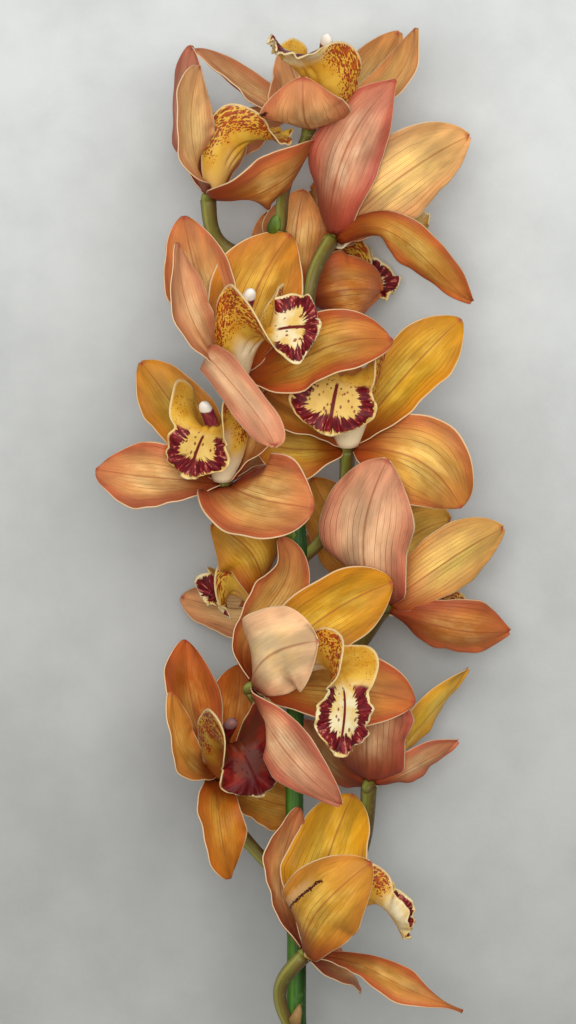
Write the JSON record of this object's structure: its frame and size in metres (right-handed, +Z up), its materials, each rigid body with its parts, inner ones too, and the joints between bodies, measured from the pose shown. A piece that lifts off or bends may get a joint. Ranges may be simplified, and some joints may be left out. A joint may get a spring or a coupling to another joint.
{
  "type": "orchid stem",
  "caption": "Cut cymbidium orchid stem lying on a surface, with open peach-orange blooms along it and spotted yellow and maroon lips.",
  "frame": {"origin": "middle of the outer box on the surface that the stem lies on", "axes": "+Y along the stem from its cut end to its top bloom, +Z up from the surface, +X to the right of the stem seen from above"},
  "size_m": [0.1581, 0.5485, 0.1249],
  "materials": {
    "tepal": "soft satin petal",
    "lip": "soft satin petal",
    "column": "waxy satin",
    "stem": "smooth green stem"
  },
  "bodies": {
    "root": {"stem": "stem", "bloom_01_tepals": "tepal", "bloom_01_lip": "lip", "bloom_01_column": "column", "bloom_02_tepals": "tepal", "bloom_02_lip": "lip", "bloom_02_column": "column", "bloom_03_tepals": "tepal", "bloom_03_lip": "lip", "bloom_03_column": "column", "bloom_04_tepals": "tepal", "bloom_04_lip": "lip", "bloom_04_column": "column", "bloom_05_tepals": "tepal", "bloom_05_lip": "lip", "bloom_05_column": "column", "bloom_06_tepals": "tepal", "bloom_06_lip": "lip", "bloom_06_column": "column", "bloom_07_tepals": "tepal", "bloom_07_lip": "lip", "bloom_07_column": "column", "bloom_08_tepals": "tepal", "bloom_08_lip": "lip", "bloom_08_column": "column", "bloom_09_tepals": "tepal", "bloom_09_lip": "lip", "bloom_09_column": "column", "bloom_10_tepals": "tepal", "bloom_10_lip": "lip", "bloom_10_column": "column", "bloom_11_tepals": "tepal", "bloom_11_lip": "lip", "bloom_11_column": "column", "bloom_12_tepals": "tepal", "bloom_12_lip": "lip", "bloom_12_column": "column", "bloom_13_tepals": "tepal", "bloom_13_lip": "lip", "bloom_13_column": "column"}
  },
  "joints": []
}
